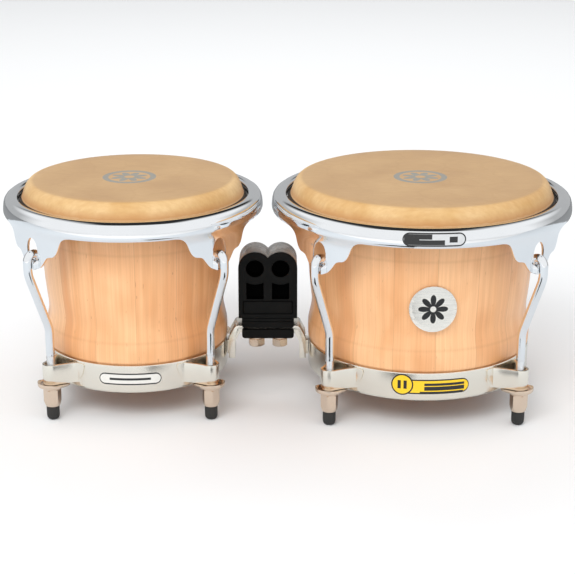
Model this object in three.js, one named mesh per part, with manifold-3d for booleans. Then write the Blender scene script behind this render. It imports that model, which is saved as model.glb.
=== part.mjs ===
// Bongo drums: a small and a large drum joined by a centre block.
// Millimetres, +Z up, floor at z = 0, X across the pair (small drum at -X), front at -Y.
import * as THREE from "three";
import { mergeVertices } from "three/addons/utils/BufferGeometryUtils.js";
import Module from "manifold-3d";

const wasm = await Module();
wasm.setup();

// ---- overall ---------------------------------------------------------------------------
const HALF_LENGTH = 265.8; // the pair reaches this far each way along X
const GAP = 0.3; // space left between touching pieces
const FLOOR = 2.4; // every height below is counted from this far under the floor
const ROUND = 32; // facets around a drum
const LUG_ANGLES = { front_left: -135, front_right: -45, rear_right: 45, rear_left: 135 };

// Each drum has the same section, moved out by its nominal head radius.
const DRUMS = [
  { name: "macho", nominal: 88.9, side: -1 },
  { name: "hembra", nominal: 107.95, side: 1 },
];

// ---- heights and radial offsets from the nominal radius --------------------------------
const HEAD_TOP = 215.6;
const SKIN = 1.6;
const SHELL_BOTTOM = 34.8;
const SHELL_TOP = HEAD_TOP - SKIN - GAP;
const SHELL_INSIDE = -16;
const RIM_WIDEST = 32.35;
const SKIRT_OUTSIDE = 29.6;
const SHEET = 2.4; // rim sheet thickness
const RING_OUTSIDE = -2.5;
const RING_WALL = 2.2;
const RING_BOTTOM = 32;
const RING_TOP = 59;

// ---- lug, from the top down -------------------------------------------------------------
const ROD_RADIUS = 4;
const ROD_LOW = 15.1; // radial offset of the threaded leg
const ROD_HIGH = 35.4; // radial offset of the leg outside the rim
const HOOK_RADIUS = 6.3;
const HOOK_CENTRE = 158.8; // height of the hook's bend centre
const HOOK_TIP = 153;
const WINDOW_SILL = HOOK_CENTRE + 0.9; // the hook bears on the tab here
const SADDLE_TOP = HOOK_CENTRE - 0.2;
const ROD_BOTTOM = 19;
const STRAP_BOTTOM = 38.2;
const STRAP_TOP = 57;
const STRAP_NOSE = 8; // outer radius of the loop around the rod
const STRAP_FOOT = 19.5; // half spacing of the two feet along the ring
const FLANGE_BOTTOM = 32.8;
const FLANGE_RADIUS = 13.3;
const NUT_BOTTOM = 16;
const NUT_CORNER = 8.3;
const BORE = 4.7;
const FOOT_RADIUS = 6.05;

// ---- centre block ------------------------------------------------------------------------
const BLOCK_X = -18.6;
const BLOCK_HALF_DEPTH = 19;
const CAP_FLANGE = 3;
const CAP_PLUG_DEPTH = 15.7;
const LOBE_SPREAD = 12.1;
const LOBE_RADIUS = 15.8;
const LOBE_Z = 131.2;
const BLOCK_BOTTOM = 82;
const COVER_INSET = 0.25;
const COVER_SHEET = 1.25;
const PLUG_INSET = COVER_INSET + COVER_SHEET + GAP;
const PLUG_BOTTOM = 91;
const SOCKET_RADIUS = 8.3;
const SOCKET_DEPTH = 14;
const POCKET_HALF_WIDTH = 8.1;
const POCKET_BOTTOM = 101.1;
const POCKET_TOP = 117.4;
const POCKET_ARCH = 1.9;
const POCKET_DEPTH = 10;
const PLATE_HALF_WIDTH = 24;
const PLATE_BOTTOM = 86;
const PLATE_TOP = 99.6;
const PLATE_DEPTH = 0.8;
const BASE_HALF_WIDTH = 24.8;
const BASE_BOTTOM = 72.3;
const JAW_BOTTOM = 61.8;
const JAW_TOP = 70.4;
const BAR_BOTTOM = 66.5;
const BAR_THICK = 6.2;
const BAR_HALF_WIDTH = 14;
const BAR_LEG_BOTTOM = 40;
const BAR_LEG_TOP = 57;
const BAR_LEFT_OUTSIDE = -56.4; // X of each leg's outer face
const BAR_RIGHT_OUTSIDE = 17.6;
const CHANNEL_PLAY = 0.5; // room beside the bars in the clamp's channels
const PAD_HALF_WIDTH = 7; // pad between a leg and the ring it holds
const PAD_BOTTOM = 42;
const PAD_TOP = 56;
const BOLT_SPREAD = 11.2;
const BOLT_HEAD = 8.2;
const BOLT_BOTTOM = 48.9;
const BOLT_HEAD_TOP = 56.2;
const WASHER_RADIUS = 7.8;
const BOLT_TOP = 88;

const COLOURS = {
  shell: 0xdfb087,
  head: 0xd6ae7c,
  hoop: 0x77716a,
  chrome: 0xe4e4e4,
  ring: 0xd8d3c9,
  nickel: 0xd8c3aa,
  rubber: 0x2a2826,
  plastic: 0x1a1a1a,
  cover: 0x8e8a80,
  badge: 0xc9c9c9,
};

const bongos = new THREE.Group();
bongos.name = "bongo_drums";

// ---- helpers -------------------------------------------------------------------------------

function toSolid(geometry) {
  const bare = geometry.clone();
  bare.deleteAttribute("normal");
  bare.deleteAttribute("uv");
  const welded = mergeVertices(bare, 1e-4);
  const mesh = new wasm.Mesh({
    numProp: 3,
    vertProperties: new Float32Array(welded.attributes.position.array),
    triVerts: new Uint32Array(welded.index.array),
  });
  return new wasm.Manifold(mesh);
}

function toGeometry(solid) {
  const mesh = solid.getMesh();
  const geometry = new THREE.BufferGeometry();
  geometry.setAttribute("position", new THREE.BufferAttribute(mesh.vertProperties, 3));
  geometry.setIndex(new THREE.BufferAttribute(mesh.triVerts, 1));
  const faceted = geometry.toNonIndexed();
  faceted.computeVertexNormals();
  return faceted;
}

function join(first, ...others) {
  return others.reduce((sum, next) => sum.add(next), first);
}

function cut(solid, ...tools) {
  return tools.reduce((rest, tool) => rest.subtract(tool), solid);
}

function addPiece(name, solid, colour) {
  const material = new THREE.MeshStandardMaterial({ color: COLOURS[colour], name: `${name}_paint` });
  const mesh = new THREE.Mesh(toGeometry(solid.translate([0, 0, -FLOOR])), material);
  mesh.name = name;
  bongos.add(mesh);
}

// Solid of revolution about the vertical axis; the profile lists [radius, z] counter-clockwise.
function lathe(profile, facets) {
  const points = profile.map(([radius, z]) => new THREE.Vector2(radius, z));
  if (points[0].x > 0) {
    points.push(points[0].clone());
  }
  return toSolid(new THREE.LatheGeometry(points, facets).rotateX(Math.PI / 2));
}

function cylinder(radius, bottom, top, facets) {
  return lathe([[0, bottom], [radius, bottom], [radius, top], [0, top]], facets);
}

function box(x0, x1, y0, y1, z0, z1) {
  const geometry = new THREE.BoxGeometry(x1 - x0, y1 - y0, z1 - z0);
  return toSolid(geometry.translate((x0 + x1) / 2, (y0 + y1) / 2, (z0 + z1) / 2));
}

// Extrudes an x-y outline upwards.
function slab(shape, bottom, top, curveSegments = 6) {
  const options = { depth: top - bottom, bevelEnabled: false, curveSegments };
  return toSolid(new THREE.ExtrudeGeometry(shape, options).translate(0, 0, bottom));
}

// Extrudes an x-z outline from the front (low y) to the back (high y).
function wall(shape, front, back, curveSegments = 6) {
  const options = { depth: back - front, bevelEnabled: false, curveSegments };
  const geometry = new THREE.ExtrudeGeometry(shape, options);
  return toSolid(geometry.rotateX(Math.PI / 2).translate(0, back, 0));
}

function outline(points) {
  return new THREE.Shape(points.map(([x, y]) => new THREE.Vector2(x, y)));
}

// A path whose extrusion steps fall exactly on the given knots.
class KnotPath extends THREE.Curve {
  constructor(knots) {
    super();
    this.knots = knots;
  }
  getPoint(t) {
    const place = t * (this.knots.length - 1);
    const index = Math.min(Math.floor(place), this.knots.length - 2);
    return this.knots[index].clone().lerp(this.knots[index + 1], place - index);
  }
  getUtoTmapping(u) {
    return u;
  }
}

// Points of an arc in the r-z plane, angles in degrees.
function arc(r, z, radius, from, to, steps) {
  const points = [];
  for (let i = 0; i <= steps; i += 1) {
    const angle = THREE.MathUtils.degToRad(from + ((to - from) * i) / steps);
    points.push([r + radius * Math.cos(angle), z + radius * Math.sin(angle)]);
  }
  return points;
}

// ---- drum: pieces of revolution ---------------------------------------------------------

function makeShell(nominal) {
  const outside = [
    [-5.0, SHELL_BOTTOM],
    [-5.0, RING_TOP + GAP],
    [-2.4, 61.5],
    [-2.2, 75],
    [-5.8, 93],
    [-5.2, 101],
    [-2.6, 130],
    [-1.0, 164],
    [2.2, 200],
    [1.2, SHELL_TOP],
  ];
  const inside = [
    [-6, SHELL_TOP],
    [SHELL_INSIDE, 203],
    [SHELL_INSIDE, SHELL_BOTTOM],
  ];
  return lathe([...outside, ...inside].map(([offset, z]) => [nominal + offset, z]), ROUND);
}

function makeHead(nominal) {
  const top = [
    [17.0, 189.8],
    [18.6, 194],
    [16.1, 201],
    [7.6, 214.2],
    [5.6, HEAD_TOP],
  ].map(([offset, z]) => [nominal + offset, z]);
  const underside = [
    [4.2, HEAD_TOP - SKIN],
    [14.2, 200.6],
    [16.6, 194],
    [15.2, 189.8],
  ].map(([offset, z]) => [nominal + offset, z]);
  return lathe([[0, HEAD_TOP - SKIN], ...underside, ...top, [0, HEAD_TOP]], ROUND);
}

function makeFleshHoop(nominal) {
  const section = [
    [19.4, 190],
    [25.8, 190],
    [25.8, 196.3],
    [22.6, 196.9],
    [19.4, 196.3],
  ];
  return lathe(section.map(([offset, z]) => [nominal + offset, z]), ROUND);
}

// ---- rim: rolled band with four hooked-over tabs -------------------------------------------

function makeRimBand(nominal) {
  const section = [
    [31.4, 186.4],
    [RIM_WIDEST, 189.5],
    [31.8, 194.5],
    [30.2, 199.2],
    [25.0, 202.0],
    [22.0, 201.1],
    [20.6, 197.8],
    [22.6, 197.8],
    [25.0, 199.6],
    [27.8, 198.2],
    [29.3, 193.0],
    [27.2, 189.0],
    [27.2, 186.4],
  ];
  return lathe(section.map(([offset, z]) => [nominal + offset, z]), ROUND);
}

// Half outline of a tab: distance along the skirt from the lug, and height.
const TAB_EDGE = [
  [9, 154],
  [14, 158],
  [17.5, 162.5],
  [21.5, 165.8],
  [27, 167.5],
  [30.5, 170.5],
  [32.5, 175],
  [34.5, 180],
  [38.5, 184.3],
  [46, 186.3],
];

function makeTabOutline(skirtRadius) {
  const chord = (along) => skirtRadius * Math.sin(along / skirtRadius);
  const right = TAB_EDGE.map(([along, z]) => [chord(along), z]);
  const left = right.map(([x, z]) => [-x, z]).reverse();
  const topZ = 188;
  return outline([[0, 151.5], ...right, [chord(46), topZ], [-chord(46), topZ], ...left]);
}

function makeWindowOutline() {
  const halfWidth = 7.5;
  const shape = new THREE.Shape();
  shape.moveTo(-halfWidth, WINDOW_SILL);
  shape.lineTo(halfWidth, WINDOW_SILL);
  shape.lineTo(halfWidth, 171);
  shape.quadraticCurveTo(halfWidth * 0.8, 177.5, 0, 180);
  shape.quadraticCurveTo(-halfWidth * 0.8, 177.5, -halfWidth, 171);
  return shape;
}

function makeSaddleOutline() {
  const shape = new THREE.Shape();
  shape.moveTo(-6.5, 156);
  shape.quadraticCurveTo(0, 151.5, 6.5, 156);
  shape.lineTo(6.5, SADDLE_TOP - 2);
  shape.quadraticCurveTo(6.2, SADDLE_TOP, 4, SADDLE_TOP);
  shape.lineTo(-4, SADDLE_TOP);
  shape.quadraticCurveTo(-6.2, SADDLE_TOP, -6.5, SADDLE_TOP - 2);
  return shape;
}

// Turns a solid built in front of the axis (towards -Y) to face the given angle.
function faceAngle(solid, degrees) {
  return solid.rotate([0, 0, degrees + 90]);
}

function makeRim(nominal) {
  const outside = nominal + SKIRT_OUTSIDE;
  const saddleOutside = nominal + ROD_HIGH - ROD_RADIUS - GAP;
  const skirt = lathe(
    [
      [outside - SHEET, 150],
      [outside, 150],
      [outside, 189],
      [outside - SHEET, 189],
    ],
    ROUND,
  );
  const tab = wall(makeTabOutline(outside), -nominal - 60, -nominal / 2).intersect(skirt);
  const saddle = wall(makeSaddleOutline(), -saddleOutside, -outside + SHEET);
  const hookWindow = wall(makeWindowOutline(), -nominal - 60, -nominal / 2);
  const lug = cut(join(tab, saddle), hookWindow);
  const lugs = Object.values(LUG_ANGLES).map((angle) => faceAngle(lug, angle));
  return join(makeRimBand(nominal), ...lugs);
}

// ---- bottom ring with its lug straps ---------------------------------------------------------

// Plan of a strap, the radius along +X: two feet on the ring and a round nose around the rod.
function makeStrapOutline(nominal, nose, foot) {
  const wallMiddle = nominal + RING_OUTSIDE - RING_WALL / 2;
  const footX = Math.sqrt(wallMiddle ** 2 - foot ** 2);
  const rodX = nominal + ROD_LOW;
  const shape = new THREE.Shape();
  shape.moveTo(footX, -foot);
  shape.quadraticCurveTo(footX + 6, -foot + 7, rodX + nose * 0.34, -nose * 0.94);
  shape.absarc(rodX, 0, nose, THREE.MathUtils.degToRad(-70), THREE.MathUtils.degToRad(70), false);
  shape.quadraticCurveTo(footX + 6, foot - 7, footX, foot);
  return shape;
}

function makeBottomRing(nominal) {
  const outside = nominal + RING_OUTSIDE;
  const inside = outside - RING_WALL;
  const lipThick = 2.4;
  const ring = lathe(
    [
      [nominal - 15, RING_BOTTOM],
      [outside - 1.5, RING_BOTTOM],
      [outside, RING_BOTTOM + 1.5],
      [outside, RING_TOP],
      [inside, RING_TOP],
      [inside, RING_BOTTOM + lipThick],
      [nominal - 15, RING_BOTTOM + lipThick],
    ],
    ROUND,
  );
  const outer = slab(makeStrapOutline(nominal, STRAP_NOSE, STRAP_FOOT), STRAP_BOTTOM, STRAP_TOP, 4);
  const hollow = slab(
    makeStrapOutline(nominal, STRAP_NOSE - RING_WALL, STRAP_FOOT - 3.2),
    STRAP_BOTTOM - 1,
    STRAP_TOP + 1,
    4,
  );
  const insideRing = cylinder(outside - RING_WALL / 2, STRAP_BOTTOM - 1, STRAP_TOP + 1, ROUND);
  const strap = cut(outer, hollow, insideRing);
  const straps = Object.values(LUG_ANGLES).map((angle) => strap.rotate([0, 0, angle]));
  return join(ring, ...straps);
}

// ---- lug pieces, built on the rod's vertical leg at the origin ---------------------------------

// Rod with its hook, the radius along +X measured from the threaded leg.
function makeRod() {
  const swing = ROD_HIGH - ROD_LOW;
  const slope = 20; // degrees the middle leans outwards
  const bend = 30; // bend radius
  const lowBend = 86;
  const highBend = 152;
  const low = arc(bend, lowBend, bend, 180, 180 - slope, 3);
  const high = arc(swing - bend, highBend, bend, -slope, 0, 3);
  const hook = arc(swing - HOOK_RADIUS, HOOK_CENTRE, HOOK_RADIUS, 0, 180, 6);
  const tip = [swing - 2 * HOOK_RADIUS, HOOK_TIP];
  const knots = [[0, ROD_BOTTOM], ...low, ...high, ...hook, tip];
  const path = new KnotPath(knots.map(([r, z]) => new THREE.Vector3(r, 0, z)));
  const section = new THREE.Shape().absarc(0, 0, ROD_RADIUS, 0, 2 * Math.PI, false);
  const options = { steps: knots.length - 1, extrudePath: path, curveSegments: 4 };
  return toSolid(new THREE.ExtrudeGeometry(section, options));
}

// Plan of a flange's plate: round on the outside, drawn out to two corners under the strap.
function makeFlangeOutline() {
  const cornerX = -13.5;
  const cornerY = 12.9;
  const shape = new THREE.Shape();
  shape.absarc(0, 0, FLANGE_RADIUS, THREE.MathUtils.degToRad(-100), THREE.MathUtils.degToRad(100), false);
  shape.lineTo(cornerX + 4, cornerY);
  shape.quadraticCurveTo(cornerX, cornerY, cornerX, cornerY - 4.4);
  shape.lineTo(cornerX, 4.4 - cornerY);
  shape.quadraticCurveTo(cornerX, -cornerY, cornerX + 4, -cornerY);
  return shape;
}

// Plate under the strap, with an upturned lip on its outer side and a collar for the nut.
function makeFlange() {
  const plateTop = STRAP_BOTTOM - GAP;
  const lipEnd = THREE.MathUtils.degToRad(70);
  const lip = new THREE.Shape();
  lip.absarc(0, 0, FLANGE_RADIUS, -lipEnd, lipEnd, false);
  lip.absarc(0, 0, FLANGE_RADIUS - 1.7, lipEnd, -lipEnd, true);
  const solid = join(
    cylinder(9.2, FLANGE_BOTTOM, plateTop - 1, 16),
    slab(makeFlangeOutline(), FLANGE_BOTTOM + 1.8, plateTop, 8),
    slab(lip, plateTop - 1, plateTop + 1.6, 8),
  );
  return cut(solid, cylinder(BORE, FLANGE_BOTTOM - 1, plateTop + 1, 12));
}

function makeNut() {
  const top = FLANGE_BOTTOM - GAP;
  const hex = lathe(
    [
      [0, NUT_BOTTOM],
      [FOOT_RADIUS + 0.6, NUT_BOTTOM],
      [NUT_CORNER, NUT_BOTTOM + 5],
      [NUT_CORNER, top],
      [0, top],
    ],
    6,
  );
  return cut(hex, cylinder(BORE, ROD_BOTTOM - 0.6, top + 1, 12));
}

function makeFoot() {
  const top = NUT_BOTTOM - GAP;
  return lathe(
    [
      [0, FLOOR],
      [3.8, FLOOR],
      [FOOT_RADIUS - 0.6, FLOOR + 1.2],
      [FOOT_RADIUS, FLOOR + 3.6],
      [FOOT_RADIUS, top],
      [0, top],
    ],
    12,
  );
}

// X of a drum's middle.
function middleOf({ nominal, side }) {
  return side * (HALF_LENGTH - nominal - RIM_WIDEST);
}

// X of a drum's bottom ring where it faces the centre block.
function ringEdge(drum) {
  return middleOf(drum) - drum.side * (drum.nominal + RING_OUTSIDE);
}

function makeDrum(drum) {
  const { name, nominal } = drum;
  const centreX = middleOf(drum);
  const onAxis = (solid) => solid.translate([centreX, 0, 0]);
  addPiece(`${name}_shell`, onAxis(makeShell(nominal)), "shell");
  addPiece(`${name}_head`, onAxis(makeHead(nominal)), "head");
  addPiece(`${name}_flesh_hoop`, onAxis(makeFleshHoop(nominal)), "hoop");
  addPiece(`${name}_rim`, onAxis(makeRim(nominal)), "chrome");
  addPiece(`${name}_bottom_ring`, onAxis(makeBottomRing(nominal)), "ring");
  for (const [place, angle] of Object.entries(LUG_ANGLES)) {
    const atLug = (solid) => onAxis(solid.translate([nominal + ROD_LOW, 0, 0]).rotate([0, 0, angle]));
    addPiece(`${name}_rod_${place}`, atLug(makeRod()), "chrome");
    addPiece(`${name}_flange_${place}`, atLug(makeFlange()), "nickel");
    addPiece(`${name}_nut_${place}`, atLug(makeNut()), "nickel");
    addPiece(`${name}_foot_${place}`, atLug(makeFoot()), "rubber");
  }
}

// ---- round badge on the large drum -----------------------------------------------------------

function makeBadge(drum) {
  const { nominal } = drum;
  const badgeRadius = 21.5;
  const badgeZ = 120.8;
  const inside = nominal - 1.7;
  const outside = inside + 1.6;
  const sheet = lathe([[inside, 90], [outside, 90], [outside, 150], [inside, 150]], ROUND * 2);
  const disc = new THREE.Shape().absarc(0, badgeZ, badgeRadius, 0, 2 * Math.PI, false);
  const round = wall(disc, -nominal - 10, -nominal / 2, 12).intersect(sheet);
  const towards = -87.8; // degrees round the drum, just right of straight ahead
  return faceAngle(round, towards).translate([middleOf(drum), 0, 0]);
}

// ---- centre block ------------------------------------------------------------------------------

// Two-lobed outline of the block, drawn in by the given amount, down to the given bottom.
function blockOutline(inset, bottom) {
  const radius = LOBE_RADIUS - inset;
  const halfWidth = LOBE_SPREAD + radius;
  const valley = Math.acos(-LOBE_SPREAD / radius);
  const shape = new THREE.Shape();
  shape.moveTo(-halfWidth, bottom);
  shape.lineTo(halfWidth, bottom);
  shape.absarc(LOBE_SPREAD, LOBE_Z, radius, 0, valley, false);
  shape.absarc(-LOBE_SPREAD, LOBE_Z, radius, Math.PI - valley, Math.PI, false);
  return shape;
}

function pocketOutline(centreX) {
  const shape = new THREE.Shape();
  shape.moveTo(centreX - POCKET_HALF_WIDTH, POCKET_BOTTOM);
  shape.lineTo(centreX + POCKET_HALF_WIDTH, POCKET_BOTTOM);
  shape.lineTo(centreX + POCKET_HALF_WIDTH, POCKET_TOP);
  shape.quadraticCurveTo(centreX, POCKET_TOP - 2 * POCKET_ARCH, centreX - POCKET_HALF_WIDTH, POCKET_TOP);
  return shape;
}

// Moulded cap seen from the front: a face with sockets, pockets and a blank plate, on a plug that fills
// half of the cover. The face laps over the cover's edge, or lies inside it when drawn in.
function makeCap(faceInset) {
  const front = -BLOCK_HALF_DEPTH;
  const face = wall(blockOutline(faceInset, BLOCK_BOTTOM), front, front + CAP_FLANGE);
  const plug = wall(blockOutline(PLUG_INSET, PLUG_BOTTOM), front + 1, front + CAP_FLANGE + CAP_PLUG_DEPTH);
  const tools = [-LOBE_SPREAD, LOBE_SPREAD].flatMap((x) => {
    const socket = new THREE.Shape().absarc(x, LOBE_Z, SOCKET_RADIUS, 0, 2 * Math.PI, false);
    return [
      wall(socket, front - 1, front + SOCKET_DEPTH, 8),
      wall(pocketOutline(x), front - 1, front + POCKET_DEPTH),
    ];
  });
  const plate = box(-PLATE_HALF_WIDTH, PLATE_HALF_WIDTH, front - 1, front + PLATE_DEPTH, PLATE_BOTTOM, PLATE_TOP);
  return cut(join(face, plug), ...tools, plate).translate([BLOCK_X, 0, 0]);
}

// Sheet bent over both lobes, from behind the front cap's face to the back of the block.
function makeCover() {
  const front = CAP_FLANGE + GAP - BLOCK_HALF_DEPTH;
  const back = BLOCK_HALF_DEPTH;
  const outside = wall(blockOutline(COVER_INSET, BLOCK_BOTTOM), front, back);
  const inside = wall(blockOutline(COVER_INSET + COVER_SHEET, BLOCK_BOTTOM - 1), front - 1, back + 1);
  return cut(outside, inside).translate([BLOCK_X, 0, 0]);
}

function boltHoles(low, high) {
  return [-BOLT_SPREAD, BOLT_SPREAD].map((x) => cylinder(BORE, low, high, 12).translate([x, 0, 0]));
}

// Base of the block: the upper half of the clamp, and the threads the two bolts turn in.
function makeCore() {
  const depth = BLOCK_HALF_DEPTH;
  const base = box(-BASE_HALF_WIDTH, BASE_HALF_WIDTH, -depth, depth, BASE_BOTTOM, BLOCK_BOTTOM - GAP);
  const halfDepth = depth - CAP_FLANGE - GAP;
  const halfWidth = LOBE_SPREAD + LOBE_RADIUS - PLUG_INSET - GAP;
  const body = box(-halfWidth, halfWidth, -halfDepth, halfDepth, BLOCK_BOTTOM, PLUG_BOTTOM - GAP);
  const neck = box(-BASE_HALF_WIDTH, BASE_HALF_WIDTH, -halfDepth, halfDepth, BLOCK_BOTTOM - 1, BLOCK_BOTTOM + 1);
  const lip = BAR_HALF_WIDTH + CHANNEL_PLAY;
  const channel = box(-40, 40, -lip, lip, BASE_BOTTOM - 1, BAR_BOTTOM + BAR_THICK + GAP);
  const holes = boltHoles(BASE_BOTTOM - 1, BOLT_TOP + 1);
  return cut(join(base, neck, body), channel, ...holes).translate([BLOCK_X, 0, 0]);
}

// Lower half of the clamp: a channel that holds both bars up against the base.
function makeJaw() {
  const depth = BLOCK_HALF_DEPTH;
  const body = box(-BASE_HALF_WIDTH, BASE_HALF_WIDTH, -depth, depth, JAW_BOTTOM, JAW_TOP);
  const lip = BAR_HALF_WIDTH + CHANNEL_PLAY;
  const channel = box(-40, 40, -lip, lip, BAR_BOTTOM - GAP, JAW_TOP + 1);
  return cut(body, channel, ...boltHoles(JAW_BOTTOM - 1, JAW_TOP)).translate([BLOCK_X, 0, 0]);
}

// Hexagon-headed bolt with its washers, from under the jaw up into the base.
function makeBolt(x) {
  const head = lathe(
    [
      [0, BOLT_BOTTOM],
      [BOLT_HEAD - 1.1, BOLT_BOTTOM],
      [BOLT_HEAD, BOLT_BOTTOM + 1],
      [BOLT_HEAD, BOLT_HEAD_TOP],
      [0, BOLT_HEAD_TOP],
    ],
    6,
  );
  const neck = cylinder(WASHER_RADIUS - 1.4, BOLT_HEAD_TOP - 1, BOLT_HEAD_TOP + 2, 16);
  const washers = cylinder(WASHER_RADIUS, BOLT_HEAD_TOP + 0.9, JAW_BOTTOM - GAP, 16);
  const shank = cylinder(ROD_RADIUS, JAW_BOTTOM - 1, BOLT_TOP, 12);
  return join(head, neck, washers, shank).translate([BLOCK_X + x, 0, 0]);
}

// Flat bar from the clamp down to a pad on a drum's bottom ring; side is -1 towards the small drum.
function makeBar(side, legOutside, ringOutside) {
  const top = BAR_BOTTOM + BAR_THICK;
  const legInside = legOutside - side * BAR_THICK;
  const inner = BLOCK_X + side * 0.8;
  const kneeInside = legInside - side * 5;
  const kneeOutside = legOutside - side * 6.5;
  const shape = outline([
    [inner, BAR_BOTTOM],
    [inner, top],
    [kneeOutside, top],
    [legOutside, BAR_LEG_TOP + 3],
    [legOutside, BAR_LEG_BOTTOM],
    [legInside, BAR_LEG_BOTTOM],
    [legInside, BAR_LEG_TOP],
    [kneeInside, BAR_BOTTOM],
  ]);
  const padEnds = [legOutside - side, ringOutside - side * GAP].sort((a, b) => a - b);
  const pad = box(...padEnds, -PAD_HALF_WIDTH, PAD_HALF_WIDTH, PAD_BOTTOM, PAD_TOP);
  const hole = cylinder(BORE, BAR_BOTTOM - 1, top + 1, 12).translate([BLOCK_X + side * BOLT_SPREAD, 0, 0]);
  return cut(join(wall(shape, -BAR_HALF_WIDTH, BAR_HALF_WIDTH), pad), hole);
}

for (const drum of DRUMS) {
  makeDrum(drum);
}
const [macho, hembra] = DRUMS;
addPiece("hembra_badge", makeBadge(hembra), "badge");
addPiece("block_front_cap", makeCap(0), "plastic");
addPiece("block_rear_cap", makeCap(PLUG_INSET).mirror([0, 1, 0]), "plastic");
addPiece("block_cover", makeCover(), "cover");
addPiece("block_core", makeCore(), "plastic");
addPiece("clamp_jaw", makeJaw(), "plastic");
addPiece("clamp_bolt_left", makeBolt(-BOLT_SPREAD), "nickel");
addPiece("clamp_bolt_right", makeBolt(BOLT_SPREAD), "nickel");
addPiece("bridge_bar_left", makeBar(-1, BAR_LEFT_OUTSIDE, ringEdge(macho)), "ring");
addPiece("bridge_bar_right", makeBar(1, BAR_RIGHT_OUTSIDE, ringEdge(hembra)), "ring");

export default bongos;
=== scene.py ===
"""Looks for the bongo drums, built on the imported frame. Lengths are millimetres until a mesh is made."""
import math
import random

import bmesh
import bpy
from mathutils import Matrix, Vector


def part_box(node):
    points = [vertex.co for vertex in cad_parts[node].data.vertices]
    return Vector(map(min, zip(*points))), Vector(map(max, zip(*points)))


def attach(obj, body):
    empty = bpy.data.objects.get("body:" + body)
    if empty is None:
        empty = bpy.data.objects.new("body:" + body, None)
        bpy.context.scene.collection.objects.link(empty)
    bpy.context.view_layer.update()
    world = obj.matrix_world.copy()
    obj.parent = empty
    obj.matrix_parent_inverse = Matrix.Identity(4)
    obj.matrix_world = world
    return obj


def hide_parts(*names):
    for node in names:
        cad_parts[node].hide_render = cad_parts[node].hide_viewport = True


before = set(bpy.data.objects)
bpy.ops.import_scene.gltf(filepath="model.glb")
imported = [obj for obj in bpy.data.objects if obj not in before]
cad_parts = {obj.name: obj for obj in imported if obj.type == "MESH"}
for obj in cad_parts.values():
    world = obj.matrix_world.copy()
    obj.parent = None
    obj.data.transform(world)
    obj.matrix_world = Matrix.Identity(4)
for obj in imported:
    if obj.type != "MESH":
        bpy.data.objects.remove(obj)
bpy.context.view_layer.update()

MM = 0.001
DRUMS = ("macho", "hembra")
LUGS = {"front_left": -135, "front_right": -45, "rear_right": 45, "rear_left": 135}

# Radial offsets from a drum's nominal head radius, and heights counted from a little under the floor.
FLOOR = 2.4
RIM_WIDEST = 32.35
SKIRT = 29.6
SHEET = 2.4
ROD_LOW = 15.1
ROD_HIGH = 35.4
ROD_R = 4.0
ROD_END = 19.8
THREAD_TOP = 66.0
THREAD_PITCH = 1.25
HOOK_R = 6.3
HOOK_Z = 158.8
HEAD_TOP = 215.6
FLAT_EDGE = 4.6
GAP_TOP = 200.0
RING_OUT = -2.5
RING_WALL = 2.2
STRAP_LOW = 38.2
STRAP_HIGH = 57.0
FLANGE_LOW = 32.8
NUT_LOW = 16.0
BLOCK_X = -18.6


def centre_of(drum):
    """Middle of a drum, in millimetres."""
    low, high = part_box(f"{drum}_shell")
    return (low[0] + high[0]) / 2 / MM


def nominal_of(drum):
    """Nominal head radius of a drum, found from the rim's widest radius."""
    low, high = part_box(f"{drum}_rim")
    return (high[0] - low[0]) / 2 / MM - RIM_WIDEST


CENTRE = {drum: centre_of(drum) for drum in DRUMS}
NOMINAL = {drum: nominal_of(drum) for drum in DRUMS}


# ---- mesh helpers ----

def add_object(name, data):
    obj = bpy.data.objects.new(name, data)
    bpy.context.scene.collection.objects.link(obj)
    return obj


def make_mesh(name, verts, faces, sharp=35.0):
    """Mesh object from millimetre vertices, smooth except across edges sharper than the angle."""
    mesh = bpy.data.meshes.new(name)
    mesh.from_pydata([Vector(v) * MM for v in verts], [], faces)
    mesh.validate()
    bm = bmesh.new()
    bm.from_mesh(mesh)
    bmesh.ops.remove_doubles(bm, verts=bm.verts, dist=1e-6)
    bmesh.ops.recalc_face_normals(bm, faces=bm.faces)
    bm.to_mesh(mesh)
    bm.free()
    smooth(mesh, sharp)
    obj = add_object(name, mesh)
    return obj


def smooth(mesh, sharp):
    mesh.shade_smooth()
    mesh.set_sharp_from_angle(angle=math.radians(sharp))


def turned(degrees):
    return Matrix.Rotation(math.radians(degrees), 4, "Z")


def place(obj, x=0.0, y=0.0, z=0.0, turn=0.0):
    """Puts an object built on its own axis at a place in the frame, turned about Z in degrees."""
    obj.matrix_world = Matrix.Translation(Vector((x, y, z - FLOOR)) * MM) @ turned(turn)
    return obj


def finish_piece(obj, material, body, slot, *replaced):
    """Material, riding body and the CAD nodes the piece stands for; the slot is not used."""
    obj.data.materials.clear()
    obj.data.materials.append(material)
    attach(obj, body)
    if replaced:
        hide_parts(*replaced)


def apply_modifiers(obj, sharp=35.0):
    """Replaces the object's mesh by its evaluated mesh, with no modifiers left."""
    graph = bpy.context.evaluated_depsgraph_get()
    done = bpy.data.meshes.new_from_object(obj.evaluated_get(graph))
    obj.modifiers.clear()
    obj.data = done
    smooth(done, sharp)


def bevel_edges(obj, width, segments, angle, sharp):
    """Rounds the edges sharper than the angle; the finished mesh is smooth except across sharp edges."""
    bevel = obj.modifiers.new("edges", "BEVEL")
    bevel.width = width * MM
    bevel.segments = segments
    bevel.limit_method = "ANGLE"
    bevel.angle_limit = math.radians(angle)
    bevel.use_clamp_overlap = True
    apply_modifiers(obj, sharp)


def thicken(obj, width, even, sharp):
    """Gives a surface a thickness behind its front."""
    thick = obj.modifiers.new("sheet", "SOLIDIFY")
    thick.thickness = width * MM
    thick.offset = -1.0
    thick.use_even_offset = even
    apply_modifiers(obj, sharp)


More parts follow.
